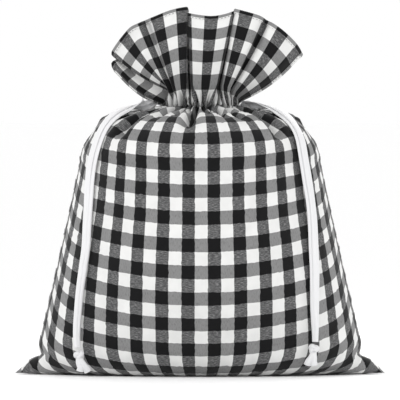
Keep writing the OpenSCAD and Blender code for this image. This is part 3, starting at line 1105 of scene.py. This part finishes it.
def facing_away(line):
    """The direction away from the cloth at each point of a line, smoothed along it."""
    way = np.array([body_surface.find_nearest(Vector(p))[1] for p in line])
    for _ in range(14):
        way[1:-1] = (way[:-2] + way[1:-1] + way[2:]) / 3
    return unit(way)


def curl_angle(narrow):
    """Half the angle of the arc whose chord is this share of its length."""
    angles = np.linspace(0.05, 2.6, 200)
    return np.interp(-narrow, -np.sin(angles) / angles, angles)


def ribbon(name, line, way, seen_widths, shifts, lift, body):
    """A ribbon along a line. Widths and shifts are pairs of a distance along it and a value, in mm."""
    run = distances(line)
    seen = np.interp(run, *(np.array(seen_widths).T * MM))
    shift = np.interp(run, *(np.array(shifts).T * MM))
    forward = unit(np.gradient(line, axis=0))
    side = unit(np.cross(forward, way))
    up = np.cross(side, forward)
    half = curl_angle(np.clip(seen / RIBBON_WIDTH, 0.25, 0.999))
    radius = RIBBON_WIDTH / 2 / half
    rings, marks = [], []
    for face in (1, -1):
        for k in np.linspace(-1, 1, 9) * face:
            r = radius + face * RIBBON_THICK / 2
            over = shift + r * np.sin(k * half)
            rise = lift + r * np.cos(k * half) - radius * np.cos(half)
            rings.append(line + side * over[:, None] + up * rise[:, None])
            marks.append(np.stack([np.full(len(line), k * RIBBON_WIDTH / 2), run], 1))
    skin = closed_skin(name, np.stack(rings, 1), np.stack(marks, 1))
    return dress(skin, white_ribbon, body)


# %% Strands
left_start = [(-31, 0, 264), (-36, -1, 267)]
right_start = [(31, 0, 259), (36, -1, 261)]
tails = {
    "left": (smooth_line(left_start + left_route, 6) * MM, 1,
             [(0, 4), (35, 9.5), (130, 9.6), (190, 7.5), (240, 5.5), (290, 4.2), (306, 2.5)],
             [(0, 0), (35, 3.2), (120, 2.2), (180, 1.2), (250, 0.8), (310, 0.4)]),
    "right": (smooth_line(right_start + right_route, 6) * MM, -1,
              [(0, 4), (35, 9.6), (150, 9.5), (235, 8.8), (268, 7.0), (292, 2.8), (300, 2.5)],
              [(0, 0), (35, 1.6), (150, 1.6), (220, 1.1), (300, 0.4)])}
for side, (line, turn, widths, shifts) in tails.items():
    way = facing_away(line)
    run = distances(line)
    for layer, share_of, lift in (("inner", -turn, 0.0002), ("outer", turn, 0.0021)):
        moved_over = [(at, value * share_of) for at, value in shifts]
        strand = ribbon(f"{side}_{layer}_ribbon", line, way, widths, moved_over, lift, None)
        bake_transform(strand)
        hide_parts(f"{side}_ribbon_{layer}_tail")
    print(side, "tail", round(length_of(line) * 1000), "mm")

# %% Loops inside the casing
LOOP_RADIUS = 0.0225
for side, middle, gap in (("left", 0.2690, math.pi), ("right", 0.2630, 0.0)):
    turn = gap + np.linspace(0.12, 2 * math.pi - 0.12, 90)
    line = np.stack([LOOP_RADIUS * np.cos(turn), LOOP_RADIUS * np.sin(turn),
                     middle + 0.0004 * np.sin(7 * turn)], 1)
    way = unit(line * np.array([1, 1, 0]))
    loop = ribbon(side + "_casing_loop", line, way, [(0, 5), (150, 5)], [(0, 0), (150, 0)], 0, "sack")
    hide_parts(side + "_ribbon_loop")

# %% [markdown]
# ## Knots and cut ends
#
# The two strands of a side are tied together in one overhand knot, which is the simplest closed path
# that crosses itself three times. Under it the two ends stand apart, cut straight.

# %% Knots
KNOT_SIZE = 0.0033
KNOT_BODY = (0.0024, 0.0019)


def overhand_knot(name, centre, tilt, body):
    """A pulled-tight knot: a rounded skin along a line that crosses itself three times."""
    t = np.linspace(0, 2 * math.pi, 121)
    x = np.sin(t) + 2 * np.sin(2 * t)
    y = np.cos(t) - 2 * np.cos(2 * t)
    path = np.stack([x * math.cos(tilt) - y * math.sin(tilt), -1.15 * np.sin(3 * t),
                     x * math.sin(tilt) + y * math.cos(tilt)], 1) * KNOT_SIZE / 3
    forward = unit(np.gradient(path, axis=0))
    side = unit(np.cross(forward, [0, 1, 0]))
    up = np.cross(side, forward)
    rings, marks = [], []
    for a in np.linspace(0, 2 * math.pi, 13)[:-1]:
        wide = KNOT_BODY[0] * math.cos(a)
        deep = KNOT_BODY[1] * math.sin(a) * (1 + 0.12 * np.sin(5 * t))
        rings.append(path + side * wide + up * deep[:, None] + centre)
        marks.append(np.stack([np.full(len(t), a * 0.001), t * 0.006], 1))
    skin = closed_skin(name, np.stack(rings, 1), np.stack(marks, 1))
    return dress(skin, white_ribbon, body)


knot_centres = {"left": (-117, -73, 21), "right": (110, -77, 27)}
cut_ends = {
    "left": [[(-116, -74, 17), (-113, -75, 12), (-110, -75, 8), (-108.5, -74, 5.5)],
             [(-117.5, -73, 17), (-117, -74, 13), (-115.5, -74.5, 9), (-116, -74, 5.5)]],
    "right": [[(109, -78, 23), (107.5, -79, 19), (105, -79, 15), (104, -78, 12)],
              [(110.5, -77, 23), (110.5, -78, 19), (110, -78.5, 15), (110.5, -78, 11.5)]]}
for side, centre in knot_centres.items():
    body = side + "_tails"
    knot = overhand_knot(side + "_tied_knot", np.array(centre) * MM, 0.5 if side == "left" else -0.3, body)
    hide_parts(side + "_knot")
    for number, points_of_end in enumerate(cut_ends[side]):
        line = smooth_line(points_of_end, 6) * MM
        way = np.tile([0.15 * (1 - 2 * number), -1.0, 0.1], (len(line), 1))
        end = ribbon(f"{side}_cut_end_{number + 1}", line, unit(way), [(0, 4), (13, 7.5)],
                     [(0, 0), (13, 0)], 0.0004 * number, body)
    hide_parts(side + "_ribbon_ends")
    line = tails[side][0]
print("knots:", len(knot_centres))
